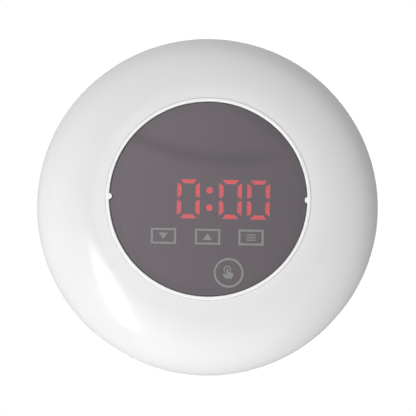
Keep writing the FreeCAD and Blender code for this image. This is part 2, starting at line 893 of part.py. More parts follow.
def make_touch_springs():
    """One coil per touch key, from the board to the back of the window."""
    length = value("Dims.lens_back_depth-Dims.board_front_depth")
    places = [(f"Dims.{side}_key_x", "-Dims.key_level") for side in ("left", "middle", "right")]
    places.append(("Dims.touch_x", "-Dims.touch_level"))
    wire, pitch = value("Dims.spring_wire"), value("Dims.spring_pitch")
    springs = [
        solid_from_code(f"touch_spring_{number}", coil(value("Dims.spring_radius"), wire, pitch, length),
                        x, "-Dims.lens_back_depth", z)
        for number, (x, z) in enumerate(places, start=1)
    ]
    finish_node(group("touch_spring_set", springs), "touch_springs")


# Rear cover

POCKET_MIDDLE = "(Dims.keyhole_rise-Dims.keyhole_radius+Dims.keyhole_slot_radius)/2+0.6"


def speaker_spots():
    """The three clip places round the speaker, as x and z expressions."""
    return [
        (f"Dims.speaker_clip_circle*cos({angle})", f"Dims.speaker_z+Dims.speaker_clip_circle*sin({angle})")
        for angle in (90, 210, 330)
    ]


def cover_additions():
    """Everything moulded inside the rear cover's shell."""
    items = [
        block("bay_tub", "0", "Dims.tub_width", "Dims.bay_level", "Dims.tub_height", "Dims.bay_back_depth",
              "1"),
        rod("speaker_rib", "Dims.speaker_rib_outer", "0", "Dims.speaker_z", "Dims.speaker_flange_depth", "1"),
    ]
    for number, (right, up) in enumerate(corner_signs(), start=1):
        items.append(rod(f"cover_boss_{number}", "Dims.case_boss_radius+1", f"{right}*Dims.case_screw_x",
                         f"{up}*Dims.case_screw_z", "Dims.case_boss_depth", "1.6"))
    for number, (x, z) in enumerate(speaker_spots(), start=1):
        items.append(rod(f"speaker_boss_{number}", "Dims.speaker_boss_radius", x, z,
                         "Dims.speaker_flange_depth", "1"))
    for side in (-1, 1):
        items.append(block(f"keyhole_pocket_{side}", f"{side}*Dims.keyhole_x", "Dims.pocket_width",
                           POCKET_MIDDLE, "Dims.pocket_height", "Dims.pocket_depth", "1"))
        items.append(rod(f"charge_post_{side}", "Dims.charge_post_radius", f"{side}*Dims.charge_post_x",
                         "Dims.charge_post_z", "Dims.port_depth+Dims.socket_height/2", "1"))
        items.append(rod(f"switch_post_{side}", "1.9", f"Dims.switch_x+{side}*Dims.switch_ear_offset",
                         "Dims.switch_z", "Dims.switch_seat_depth", "1"))
    return items


def keyhole_cutters():
    """The two keyholes and the space for a screw head in the closed pocket behind each."""
    items = []
    for side in (-1, 1):
        x = f"{side}*Dims.keyhole_x"
        items.append(rod(f"keyhole_entry_{side}", "Dims.keyhole_radius", x, "0", "Dims.wall+1", "-1"))
        items.append(rod(f"keyhole_end_{side}", "Dims.keyhole_slot_radius", x, "Dims.keyhole_rise",
                         "Dims.wall+1", "-1"))
        items.append(block(f"keyhole_slot_{side}", x, "2*Dims.keyhole_slot_radius", "Dims.keyhole_rise/2",
                           "Dims.keyhole_rise", "Dims.wall+1", "-1"))
        items.append(block(f"keyhole_space_{side}", x, "Dims.pocket_width-2*Dims.pocket_wall", POCKET_MIDDLE,
                           "Dims.pocket_height-2*Dims.pocket_wall",
                           "Dims.pocket_depth-Dims.pocket_wall", "Dims.wall"))
    return items


def grille_cutters():
    """Round holes in rings in front of the speaker cone."""
    deep, shallow = "Dims.wall+0.5", "-1"
    items = [rod("grille_centre", "Dims.grille_hole_radius", "0", "Dims.speaker_z", deep, shallow)]
    for ring, count in ((1, 6), (2, 12), (3, 18)):
        for place in range(count):
            angle = 360 * place / count
            x = f"{ring}*Dims.grille_ring_step*cos({angle})"
            z = f"Dims.speaker_z+{ring}*Dims.grille_ring_step*sin({angle})"
            items.append(rod(f"grille_{ring}_{place}", "Dims.grille_hole_radius", x, z, deep, shallow))
    return items


def bay_cutters():
    opening = "Dims.door_width+2*Dims.door_gap"
    hinge_z = "Dims.bay_level+Dims.door_height/2-Dims.barrel_radius"
    relief = "2*(Dims.barrel_radius+Dims.door_gap)"
    bore_end = "(Dims.door_width/2+Dims.trunnion_length+0.4)"
    items = [
        block("door_opening", "0", opening, "Dims.bay_level", "Dims.door_height+2*Dims.door_gap",
              "Dims.door_thickness+Dims.door_seat_gap", "-1"),
        block("bay_space", "0", "Dims.bay_width", "Dims.bay_level", "Dims.bay_height", "Dims.bay_depth",
              "-1"),
        block("hinge_relief", "0", opening, hinge_z, relief, f"{relief}-Dims.door_gap", "-1"),
        bar("hinge_bore", "Dims.trunnion_radius+Dims.trunnion_clearance", f"-{bore_end}", bore_end,
            "-Dims.barrel_radius", hinge_z),
    ]
    scoop = doc.addObject("Part::Sphere", "finger_scoop")
    bind(scoop, Radius="9")
    move(scoop, "0", "7.4", "Dims.bay_level-Dims.door_height/2-1.2")
    items.append(scoop)
    for side, row in ((-1, 1), (1, -1)):
        middle = f"{side}*(Dims.bay_width/2+Dims.tub_width/2)/2"
        items.append(block(f"tab_slot_{side}", middle, "(Dims.tub_width-Dims.bay_width)/2+2",
                           f"Dims.bay_level+{row}*Dims.cell_pitch", "Dims.tab_width+0.4",
                           "Dims.tab_depth+0.4", "Dims.tab_depth-0.4"))
    return items


def screw_cutters():
    items = []
    for number, (right, up) in enumerate(corner_signs(), start=1):
        x, z = f"{right}*Dims.case_screw_x", f"{up}*Dims.case_screw_z"
        seat = "Dims.case_head_depth+Dims.case_head_height"
        items.append(rod(f"cover_bore_{number}", "Dims.case_screw_radius+0.2", x, z,
                         "Dims.case_boss_depth+1", "-1"))
        items.append(rod(f"cover_counterbore_{number}", "Dims.case_head_radius+0.4", x, z, seat, "-1"))
    pilot = "Dims.small_screw_radius+Dims.screw_clearance"
    for number, (x, z) in enumerate(speaker_spots(), start=1):
        items.append(rod(f"speaker_pilot_{number}", pilot, x, z, "Dims.speaker_flange_depth+1", "1.2"))
    for side in (-1, 1):
        items.append(rod(f"charge_pilot_{side}", pilot, f"{side}*Dims.charge_post_x", "Dims.charge_post_z",
                         "Dims.port_depth+Dims.socket_height/2+1", "6"))
        items.append(rod(f"switch_pilot_{side}", pilot, f"Dims.switch_x+{side}*Dims.switch_ear_offset",
                         "Dims.switch_z", "Dims.switch_seat_depth+1", "1.6"))
    return items


def detail_cutters():
    items = [
        rod("speaker_seat", "Dims.speaker_rib_inner", "0", "Dims.speaker_z", "Dims.speaker_flange_depth+1",
            "Dims.wall"),
        block("switch_dish", "Dims.switch_x", "13", "Dims.switch_z", "7.2", "Dims.switch_recess", "-1"),
        block("switch_slot", "Dims.switch_x", "Dims.knob_width+Dims.switch_travel+2*Dims.knob_clearance",
              "Dims.switch_z", "Dims.knob_height+2*Dims.knob_clearance", "Dims.wall+0.5", "-1"),
        stadium("port_dish", "0", "-Dims.port_depth", "-Dims.body_radius", "Dims.port_recess_z",
                "Dims.port_recess_width", "Dims.port_recess_height"),
        stadium("port_window", "0", "-Dims.port_depth", "-Dims.body_radius", "-70",
                "Dims.socket_width+0.6", "Dims.socket_height+0.6"),
    ]
    for right in (-1, 1):
        for level in ("upper", "lower"):
            x, z = f"{right}*Dims.{level}_pad_x", f"Dims.{level}_pad_z"
            items.append(rod(f"pad_seat_{level}_{right}", "Dims.pad_radius+0.1", x, z,
                             "Dims.pad_recess", "-1"))
    return items


def make_rear_cover():
    corners = [
        ("0", "0"),
        ("0", "-Dims.wall"),
        ("Dims.back_radius", "-Dims.wall", "x"),
        (radius_on(REAR_INNER_CURVE, "-Dims.tongue_depth"), "-Dims.tongue_depth", "y"),
        ("Dims.tongue_outer_radius", "-Dims.tongue_depth"),
        ("Dims.tongue_outer_radius", "-Dims.seam_depth"),
        (radius_on(REAR_CURVE, "-Dims.seam_depth"), "-Dims.seam_depth", "y"),
        ("Dims.back_radius", "0", "x"),
    ]
    shell = turned("rear_dish", corners, {2: REAR_INNER_CURVE, 6: REAR_CURVE})
    moulding = fuse("rear_moulding", [shell] + cover_additions())
    cutters = keyhole_cutters() + grille_cutters() + bay_cutters() + screw_cutters() + detail_cutters()
    finish_node(cut("rear_cover_cut", moulding, cutters), "rear_cover")


def make_case_screws():
    seat = "(Dims.case_head_depth+Dims.case_head_height)"
    screws = [
        screw(f"case_screw_{number}", "Dims.case_screw_radius", "Dims.case_head_radius",
              "Dims.case_head_height", f"{right}*Dims.case_screw_x", f"{up}*Dims.case_screw_z",
              "Dims.case_screw_tip_depth", seat)
        for number, (right, up) in enumerate(corner_signs(), start=1)
    ]
    finish_node(group("case_screw_set", screws), "cover_screws")


def make_rubber_pads():
    pads = [
        rod(f"pad_{level}_{right}", "Dims.pad_radius", f"{right}*Dims.{level}_pad_x", f"Dims.{level}_pad_z",
            "Dims.pad_recess", "-Dims.pad_proud")
        for right in (-1, 1)
        for level in ("upper", "lower")
    ]
    finish_node(group("pad_set", pads), "rubber_pads")


# Battery door and cells


def make_battery_door():
    hinge_z = "Dims.bay_level+Dims.door_height/2-Dims.barrel_radius"
    half = "Dims.door_width/2"
    plate_height = "Dims.door_height-Dims.barrel_radius"
    plate = block("door_plate", "0", "Dims.door_width", f"{hinge_z}-({plate_height})/2", plate_height,
                  "Dims.door_thickness", "0")
    barrel = bar("door_barrel", "Dims.barrel_radius", f"-{half}", half, "-Dims.barrel_radius", hinge_z)
    trunnions = bar("door_trunnions", "Dims.trunnion_radius", f"-({half}+Dims.trunnion_length)",
                    f"{half}+Dims.trunnion_length", "-Dims.barrel_radius", hinge_z)
    foot = "Dims.bay_level-Dims.door_height/2"
    slots = [
        block(f"tongue_slot_{side}", f"{side}*Dims.tongue_width/2", "Dims.tongue_slot",
              f"{foot}+Dims.tongue_height/2", "Dims.tongue_height", "Dims.door_thickness+1", "-1")
        for side in (-1, 1)
    ]
    slots += [
        block(f"grip_groove_{row}", "0", "Dims.tongue_width-4", f"{foot}+2+{row}*1.5", "0.6", "0.4", "-1")
        for row in (0, 1, 2)
    ]
    door = cut("door_cut", fuse("door_body", [plate, barrel, trunnions]), slots)
    finish_node(door, "battery_door")


def make_door_foam():
    item = block("door_foam_strip", "0", "30", "Dims.bay_level", "34",
                 "Dims.door_thickness+Dims.foam_thickness", "Dims.door_thickness")
    finish_node(item, "door_foam")


def make_battery_cells():
    """Three cells lying along X, the middle one facing the other way."""
    button = "Dims.cell_button_radius"
    button_at = "Dims.cell_length-Dims.cell_button_height"
    shoulder = "Dims.cell_radius-Dims.cell_crimp"
    corners = [
        ("0", "0"),
        ("0", f"{shoulder}-1"),
        ("Dims.cell_crimp", shoulder),
        ("2*Dims.cell_crimp", "Dims.cell_radius"),
        (f"{button_at}-2*Dims.cell_crimp", "Dims.cell_radius"),
        (f"{button_at}-Dims.cell_crimp", shoulder),
        (f"{button_at}", f"{shoulder}-1"),
        (f"{button_at}", button),
        ("Dims.cell_length", button),
        ("Dims.cell_length", "0"),
    ]
    start = "Dims.bay_width/2-Dims.contact_thickness-Dims.contact_dimple-Dims.cell_length"
    for number, (row, way) in enumerate(((1, -1), (0, 1), (-1, -1)), start=1):
        cell = turned(f"cell_{number}", corners, axis="H_Axis")
        cell.Placement = FreeCAD.Placement(Vector(), FreeCAD.Rotation(Vector(0, 0, 1), 0 if way > 0 else 180))
        move(cell, f"{way}*({start})", "-Dims.cell_depth", f"Dims.bay_level+{row}*Dims.cell_pitch")
        finish_node(cell, f"battery_cell_{number}")


def make_battery_contacts():
    """Plates on the end walls: a single plate at each end of the chain and a bridge across each turn."""
    plates = []
    tall = "Dims.cell_pitch+Dims.contact_width"
    for side, single_row in ((-1, 1), (1, -1)):
        x = f"{side}*(Dims.bay_width-Dims.contact_thickness)/2"
        single_z = f"Dims.bay_level+{single_row}*Dims.cell_pitch"
        bridge_z = f"Dims.bay_level-{single_row}*Dims.cell_pitch/2"
        tag = "left" if side < 0 else "right"
        deep, shallow = "Dims.cell_depth+Dims.contact_width/2", "Dims.cell_depth-Dims.contact_width/2"
        single = block(f"{tag}_plate", x, "Dims.contact_thickness", single_z, "Dims.contact_width", deep,
                       shallow)
        tab = block(f"{tag}_tab", f"{side}*(Dims.bay_width/2+Dims.tab_length/2-0.2)", "Dims.tab_length+0.4",
                    single_z, "Dims.tab_width", "Dims.tab_depth+0.2", "Dims.tab_depth-0.2")
        bridge = block(f"{tag}_bridge", x, "Dims.contact_thickness", bridge_z, tall, deep, shallow)
        positive_rows = (1, -1) if side < 0 else (0,)
        joined = {"single": [single, tab], "bridge": [bridge]}
        for row in positive_rows:
            wall = "(Dims.bay_width/2-Dims.contact_thickness)"
            inner = f"({wall}-Dims.contact_dimple)"
            ends = (f"-{wall}", f"-{inner}") if side < 0 else (inner, wall)
            dimple = bar(f"{tag}_dimple_{row}", "Dims.contact_dimple_radius", ends[0], ends[1],
                         "-Dims.cell_depth", f"Dims.bay_level+({row})*Dims.cell_pitch")
            joined["single" if row == single_row else "bridge"].append(dimple)
        plates.append(fuse(f"{tag}_single_contact", joined["single"]))
        if len(joined["bridge"]) > 1:
            bridge = fuse(f"{tag}_bridge_contact", joined["bridge"])
        plates.append(bridge)
    finish_node(group("contact_plate_set", plates), "battery_contacts")


def make_battery_springs():
    length = value("Dims.bay_width-2*Dims.contact_thickness-Dims.contact_dimple-Dims.cell_length")
    wire = value("Dims.contact_spring_wire")
    springs = []
    for number, (row, side) in enumerate(((1, 1), (0, -1), (-1, 1)), start=1):
        shape = coil(value("Dims.contact_spring_radius"), wire, length / 4, length)
        shape.rotate(Vector(), Vector(0, 0, 1), 90 * side)
        wall = f"{side}*(Dims.bay_width/2-Dims.contact_thickness)"
        springs.append(solid_from_code(f"contact_spring_{number}", shape, wall, "-Dims.cell_depth",
                                       f"Dims.bay_level+({row})*Dims.cell_pitch"))
    finish_node(group("contact_spring_set", springs), "battery_springs")


# Speaker


def speaker_part(name, corners):
    item = turned(name, corners)
    move(item, "0", "0", "Dims.speaker_z")
    return item


def make_speaker_gasket():
    corners = ring_corners("Dims.speaker_radius-2.4", "Dims.speaker_radius",
                           "Dims.wall+Dims.speaker_gasket", "Dims.wall")
    finish_node(speaker_part("speaker_gasket_ring", corners), "speaker_gasket")


def make_speaker_frame():
    front = "Dims.wall+Dims.speaker_gasket"
    corners = [
        ("Dims.speaker_radius-1.2", f"-({front})"),
        ("Dims.speaker_radius", f"-({front})"),
        ("Dims.speaker_radius", "-Dims.speaker_flange_depth"),
        ("Dims.speaker_radius-1.2", "-Dims.speaker_flange_depth"),
        ("Dims.speaker_magnet_radius+1", "-Dims.speaker_basket_depth"),
        ("3.5", "-Dims.speaker_basket_depth"),
        ("3.5", "-Dims.speaker_basket_depth+0.8"),
        ("Dims.speaker_magnet_radius", "-Dims.speaker_basket_depth+0.8"),
        ("Dims.speaker_radius-2.8", f"-({front})-0.5"),
        ("Dims.speaker_radius-1.2", f"-({front})-0.5"),
    ]
    finish_node(speaker_part("speaker_basket", corners), "speaker_frame")


def make_speaker_cone():
    rim = "-(Dims.wall+Dims.speaker_gasket+0.5)"
    thin = "0.35"
    corners = [
        ("0", f"{rim}-1.7"),
        ("3.6", f"{rim}-2.7"),
        ("Dims.speaker_radius-4.4", f"{rim}-0.5"),
        ("Dims.speaker_radius-2.9", rim),
        ("Dims.speaker_radius-1.4", rim),
        ("Dims.speaker_radius-1.4", f"{rim}+{thin}"),
        ("Dims.speaker_radius-2.9", f"{rim}+{thin}"),
        ("Dims.speaker_radius-4.4", f"{rim}-0.5+{thin}"),
        ("3.6", f"{rim}-2.7+{thin}"),
        ("0", f"{rim}-1.7+{thin}"),
    ]
    finish_node(speaker_part("speaker_diaphragm", corners), "speaker_cone")


def make_speaker_magnet():
    corners = [
        ("0", "-Dims.speaker_magnet_depth"),
        ("Dims.speaker_magnet_radius", "-Dims.speaker_magnet_depth"),
        ("Dims.speaker_magnet_radius", "-Dims.speaker_basket_depth"),
        ("0", "-Dims.speaker_basket_depth"),
    ]
    finish_node(speaker_part("speaker_motor", corners), "speaker_magnet")


def make_speaker_clips():
    """Small plates that hold the speaker's flange down on the rib."""
    clips = []
    for number, (x, z) in enumerate(speaker_spots(), start=1):
        angle = 90 + 120 * (number - 1)
        plate = Part.makeBox(8.4, value("Dims.clip_thickness"), 5.0, Vector(-5.2, 0, -2.5))
        hole = Part.makeCylinder(value("Dims.small_screw_radius") + 0.2, 4, Vector(0, -1, 0), Vector(0, 1, 0))
        shape = plate.cut(hole)
        shape.rotate(Vector(), Vector(0, 1, 0), -angle)
        clips.append(solid_from_code(f"speaker_clip_{number}", shape, x,
                                     "-Dims.speaker_flange_depth-Dims.clip_thickness", z))
    finish_node(group("speaker_clip_set", clips), "speaker_clips")


def small_screw(name, x, z, seat, tip):
    """A small pan head screw driven towards the wall, its head resting at the seat depth."""
    shank = rod(f"{name}_shank", "Dims.small_screw_radius", x, z, seat, tip)
    head = rod(f"{name}_head", "Dims.small_head_radius", x, z, f"{seat}+Dims.small_head_height", seat)
    slot = block(f"{name}_slot", x, "2*Dims.small_head_radius+1", z, "0.5",
                 f"{seat}+Dims.small_head_height+1", f"{seat}+Dims.small_head_height-0.5")
    return cut(name, fuse(f"{name}_body", [shank, head]), [slot])


def make_small_screws():
    """The speaker, switch and charging board screws, one node for each set."""
    speaker = [
        small_screw(f"speaker_screw_{number}", x, z, "Dims.speaker_flange_depth+Dims.clip_thickness", "1.4")
        for number, (x, z) in enumerate(speaker_spots(), start=1)
    ]
    finish_node(group("speaker_screw_set", speaker), "speaker_screws")
    switch = [
        small_screw(f"switch_screw_{side}", f"Dims.switch_x+{side}*Dims.switch_ear_offset", "Dims.switch_z",
                    "Dims.switch_seat_depth+0.8", "1.8")
        for side in (-1, 1)
    ]
    finish_node(group("switch_screw_set", switch), "switch_screws")
    charge = [
        small_screw(f"charge_screw_{side}", f"{side}*Dims.charge_post_x", "Dims.charge_post_z",
                    "Dims.port_depth+Dims.socket_height/2+Dims.charge_board_thickness", "6.4")
        for side in (-1, 1)
    ]
    finish_node(group("charge_screw_set", charge), "charge_board_screws")


# Power switch


def make_power_switch():
    x, z = "Dims.switch_x", "Dims.switch_z"
    case = block("switch_case", x, "12", z, "7", "Dims.switch_front_depth", "Dims.switch_seat_depth")
    ears = block("switch_ears", x, "2*Dims.switch_ear_offset+4.4", z, "4.6",
                 "Dims.switch_seat_depth+0.8", "Dims.switch_seat_depth")
    channel_width = "Dims.knob_width+Dims.switch_travel+2*Dims.knob_clearance+0.4"
    channel = block("switch_channel", x, channel_width, z, "Dims.knob_height+2*Dims.knob_clearance+0.2",
                    "Dims.knob_front_depth+0.4", "Dims.switch_seat_depth-1")
    holes = [
        rod(f"ear_hole_{side}", "Dims.small_screw_radius+0.2", f"{x}+{side}*Dims.switch_ear_offset", z,
            "Dims.switch_seat_depth+2", "Dims.switch_seat_depth-1")
        for side in (-1, 1)
    ]
    body = cut("switch_body_cut", fuse("switch_body", [case, ears]), [channel] + holes)
    finish_node(body, "power_switch_body")
    knob_x = f"{x}-Dims.switch_travel/2"
    stem = block("knob_stem", knob_x, "Dims.knob_width", z, "Dims.knob_height",
                 "Dims.knob_front_depth", "Dims.knob_back_depth")
    grooves = [
        block(f"knob_groove_{step}", f"{knob_x}+({step})*0.9", "0.35", z, "Dims.knob_height+1",
              "Dims.knob_back_depth+0.35", "-1")
        for step in (-1, 0, 1)
    ]
    finish_node(cut("knob_cut", stem, grooves), "power_switch_knob")


# Charging board, socket and wiring


def make_charge_board():
    back = "Dims.port_depth+Dims.socket_height/2"
    front = f"{back}+Dims.charge_board_thickness"
    tall = "Dims.charge_board_top_z-Dims.charge_board_bottom_z"
    middle = "(Dims.charge_board_top_z+Dims.charge_board_bottom_z)/2"
    plate = block("charge_plate", "0", "Dims.charge_board_width", middle, tall, front, back)
    holes = [
        rod(f"charge_hole_{side}", "Dims.small_screw_radius+0.2", f"{side}*Dims.charge_post_x",
            "Dims.charge_post_z", f"{front}+1", f"{back}-1")
        for side in (-1, 1)
    ]
    finish_node(cut("charge_board_cut", plate, holes), "charge_board")


def make_usb_socket():
    y = "-Dims.port_depth"
    mouth = "Dims.socket_mouth_z"
    rear = "Dims.socket_mouth_z+Dims.socket_length"
    shell = stadium("socket_outer", "0", y, mouth, rear, "Dims.socket_width", "Dims.socket_height")
    space = stadium("socket_space", "0", y, f"{mouth}-1", f"{rear}-0.8",
                    "Dims.socket_width-2*Dims.socket_shell", "Dims.socket_height-2*Dims.socket_shell")
    finish_node(cut("socket_cut", shell, [space]), "charging_socket")
    tongue = block("socket_tongue_plate", "0", "6.6", f"{rear}-0.8-2.7", "5.4",
                   "Dims.port_depth+0.35", "Dims.port_depth-0.35")
    finish_node(tongue, "socket_tongue")


def route(points):
    """Straight runs through the points, joined by tangent arcs as wide as the shorter run allows."""
    places = [Vector(*point) for point in points]
    start = places[0]
    edges = []
    for before, corner, after in zip(places, places[1:], places[2:]):
        arriving = (corner - before).normalize()
        leaving = (after - corner).normalize()
        half_turn = arriving.getAngle(leaving) / 2
        reach = 0.45 * min(before.distanceToPoint(corner), corner.distanceToPoint(after))
        sag = reach / math.tan(half_turn) * (1 / math.cos(half_turn) - 1)
        first = corner - arriving * reach
        last = corner + leaving * reach
        edges.append(Part.LineSegment(start, first).toShape())
        edges.append(Part.Arc(first, corner + (leaving - arriving).normalize() * sag, last).toShape())
        start = last
    edges.append(Part.LineSegment(start, places[-1]).toShape())
    return Part.Wire(edges)


def wire_shape(points, radius):
    start = Vector(*points[0])
    circle = Part.Circle(start, Vector(*points[1]) - start, radius)
    return route(points).makePipeShell([Part.Wire([circle.toShape()])], True, False)


def wire_pair(start, end, square_run, radius, spacing):
    """Two parallel wires side by side in X that leave and meet their parts along Y."""
    leave = (start[0], start[1] - square_run, start[2])
    arrive = (end[0], end[1] + square_run, end[2])
    wires = []
    for side in (-1, 1):
        points = [(x + side * spacing / 2, y, z) for x, y, z in (start, leave, arrive, end)]
        wires.append(wire_shape(points, radius))
    return Part.makeCompound(wires)


def make_wires():
    """Each wire leaves and meets its parts square on, and clears the mouldings on the way."""
    radius = value("Dims.wire_radius")
    gap = 0.05
    board = gap - value("Dims.board_back_depth")
    charge = -value("Dims.port_depth+Dims.socket_height/2+Dims.charge_board_thickness") - gap
    tab_end = value("Dims.bay_width/2+Dims.tab_length") + radius + gap
    tab = -value("Dims.tab_depth")
    tub_foot = value("Dims.bay_level-Dims.tub_height/2")
    round_foot = [
        (tab_end + 0.8, tab - 1, tub_foot - 2),
        (30, tab - 3.5, tub_foot - 7),
        (18, charge - 7, tub_foot - 10),
        (8, charge - 7, tub_foot - 12),
        (8, charge, tub_foot - 12),
    ]
    for colour, side, row, down in (("black", -1, 1, [(tab_end + 1, tab - 1.4, -33)]), ("red", 1, -1, [])):
        top = value(f"Dims.bay_level+({row})*Dims.cell_pitch")
        points = [(side * x, y, z) for x, y, z in [(tab_end, tab, top)] + down + round_foot]
        finish_node(solid_from_code(f"{colour}_wire", wire_shape(points, radius)), f"battery_wire_{colour}")
    basket = -value("Dims.speaker_basket_depth") + 0.7
    middle = value("Dims.speaker_z")
    speaker = wire_pair((12, basket, middle), (16, board, middle - 8), 6, radius, 1.4)
    finish_node(solid_from_code("speaker_wire_pair", speaker), "speaker_wires")
    switch_x, switch_z = value("Dims.switch_x"), value("Dims.switch_z")
    case = -value("Dims.switch_front_depth") - gap
    switch = wire_pair((switch_x, case, switch_z), (switch_x - 10, board, switch_z), 6, radius, 1.6)
    finish_node(solid_from_code("switch_wire_pair", switch), "switch_wires")


def make_ribbon():
    """The flat cable between the two boards, bent round the battery bay, and the plug at each end."""
    board_plug_z, charge_plug_z, plug_tall = -42.0, -72.5, 4.6
    board = -value("Dims.board_back_depth-Dims.plug_height/2")
    charge = -value("Dims.port_depth+Dims.socket_height/2+Dims.charge_board_thickness+Dims.plug_height/2")
    width = value("Dims.ribbon_width")
    thick = value("Dims.ribbon_thickness")
    top = board_plug_z - plug_tall / 2 - 0.05
    foot = charge_plug_z + plug_tall / 2 + 0.05
    path = route([(0, board, top), (0, board, top - 7.6), (0, charge, foot + 8.1), (0, charge, foot)])
    corners = [
        Vector(width / 2 * across, board + thick / 2 * through, top)
        for across, through in ((-1, -1), (1, -1), (1, 1), (-1, 1))
    ]
    ribbon = path.makePipeShell([Part.makePolygon(corners + corners[:1])], True, False)
    finish_node(solid_from_code("ribbon_strip", ribbon), "board_cable")
    charge_front = "Dims.port_depth+Dims.socket_height/2+Dims.charge_board_thickness"
    plugs = [
        block("board_plug", "0", "Dims.ribbon_width+2", board_plug_z, plug_tall,
              "Dims.board_back_depth", "Dims.board_back_depth-Dims.plug_height"),
        block("charge_plug", "0", "Dims.ribbon_width+2", charge_plug_z, plug_tall,
              f"{charge_front}+Dims.plug_height", charge_front),
    ]
    finish_node(group("plug_set", plugs), "cable_plugs")


def check_and_export():
    doc.recompute()
    for item in doc.Objects:
        if "Invalid" in item.State or "Error" in item.State:
            raise RuntimeError(f"{item.Label} is {item.State}")
    os.makedirs("parts", exist_ok=True)
    for item in nodes:
        shape = item.Shape
        if shape.isNull() or not shape.isValid() or not shape.Solids:
            raise RuntimeError(f"{item.Label} has no valid solid")
        shape.exportStep(f"parts/{item.Label}.step")
    print(len(nodes), "parts written")


write_sheet()
make_front_shell()
make_bezel_ring()
make_display_lens()
make_lens_gasket()
make_key_legends()
make_display_housing()
make_segments()
make_segment_leds()
make_display_substrate()
make_display_pins()
make_front_board()
make_board_screws()
make_control_chip()
make_chip_leads()
make_capacitors()
make_touch_springs()
make_rear_cover()
make_case_screws()
make_rubber_pads()
make_battery_door()
make_door_foam()
make_battery_cells()
make_battery_contacts()
make_battery_springs()
make_speaker_gasket()
make_speaker_frame()
make_speaker_cone()
make_speaker_magnet()
make_speaker_clips()
make_small_screws()
make_power_switch()
make_charge_board()
make_usb_socket()
make_wires()
make_ribbon()
check_and_export()
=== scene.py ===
import json
import math

import bmesh
import bpy
from mathutils import Matrix, Vector


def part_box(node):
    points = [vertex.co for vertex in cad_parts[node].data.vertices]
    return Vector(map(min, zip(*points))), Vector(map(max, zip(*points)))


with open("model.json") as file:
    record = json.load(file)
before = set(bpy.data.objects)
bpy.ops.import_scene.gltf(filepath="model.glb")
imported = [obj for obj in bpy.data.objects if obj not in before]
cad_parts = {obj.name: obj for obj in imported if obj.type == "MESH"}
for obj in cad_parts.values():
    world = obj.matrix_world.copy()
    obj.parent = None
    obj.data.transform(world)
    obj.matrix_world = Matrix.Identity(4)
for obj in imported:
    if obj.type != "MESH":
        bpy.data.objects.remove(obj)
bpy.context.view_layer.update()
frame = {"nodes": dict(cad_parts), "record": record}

MM = 0.001
MOTTLE_EDGES = (0.3, 0.7)
scene = bpy.context.scene
scene.view_settings.view_transform = "Standard"
scene.view_settings.look = "None"

# ------------------------------------------------------------------ materials


class Nodes:
    """A small helper that adds and links shader nodes."""

    def __init__(self, tree):
        self.tree = tree
        tree.nodes.clear()

    def add(self, kind, **settings):
        node = self.tree.nodes.new(kind)
        for name, value in settings.items():
            setattr(node, name, value)
        return node

    def link(self, source, output, target, socket):
        self.tree.links.new(source.outputs[output], target.inputs[socket])

    def join(self, output, socket):
        self.tree.links.new(output, socket)


def new_material(name):
    material = bpy.data.materials.new(name)
    material.use_nodes = True
    nodes = Nodes(material.node_tree)
    shader = nodes.add("ShaderNodeBsdfPrincipled")
    output = nodes.add("ShaderNodeOutputMaterial")
    nodes.link(shader, "BSDF", output, "Surface")
    return material, nodes, shader


def noise(nodes, scale, detail=3.0):
    coords = nodes.add("ShaderNodeTexCoord")
    texture = nodes.add("ShaderNodeTexNoise")
    texture.inputs["Scale"].default_value = scale
    texture.inputs["Detail"].default_value = detail
    nodes.link(coords, "Object", texture, "Vector")
    return texture


def set_stops(node, stops):
    while len(node.color_ramp.elements) < len(stops):
        node.color_ramp.elements.new(0.5)
    for element, (place, colour) in zip(node.color_ramp.elements, stops):
        element.position = place
        element.color = (*colour, 1.0)


def ramp(nodes, source, output, stops):
    node = nodes.add("ShaderNodeValToRGB")
    set_stops(node, stops)
    nodes.link(source, output, node, "Fac")
    return node


def mottle(nodes, source, low, high):
    """Turns a noise into a soft mix of two values."""
    return ramp(nodes, source, "Fac", list(zip(MOTTLE_EDGES, (low, high))))


def grey(level):
    return (level,) * 3


def tint(colour, factor):
    return tuple(min(1.0, channel * factor) for channel in colour)


def bump(nodes, shader, source, output, strength, distance):
    node = nodes.add("ShaderNodeBump")
    node.inputs["Strength"].default_value = strength
    node.inputs["Distance"].default_value = distance
    nodes.link(source, output, node, "Height")
    nodes.link(node, "Normal", shader, "Normal")


def moulded(name, colour, roughness, spread, grain, depth, cloud=60.0, rough_spread=0.04, grain_strength=0.3):
    """Moulded plastic, rubber or paint: a faint mottle in colour and gloss, and a fine grain."""
    material, nodes, shader = new_material(name)
    shade = mottle(nodes, noise(nodes, cloud), tint(colour, 1 - spread), tint(colour, 1 + spread))
    nodes.link(shade, "Color", shader, "Base Color")
    low, high = max(0.0, roughness - rough_spread), roughness + rough_spread
    gloss = mottle(nodes, noise(nodes, cloud * 2.5), grey(low), grey(high))
    nodes.link(gloss, "Color", shader, "Roughness")
    bump(nodes, shader, noise(nodes, grain, 2.0), "Fac", grain_strength, depth)
    return material


def sleeve(name, colour):
    """The soft plastic over a wire."""
    return moulded(name, colour, roughness=0.4, spread=0.08, grain=600.0, depth=0.01 * MM)


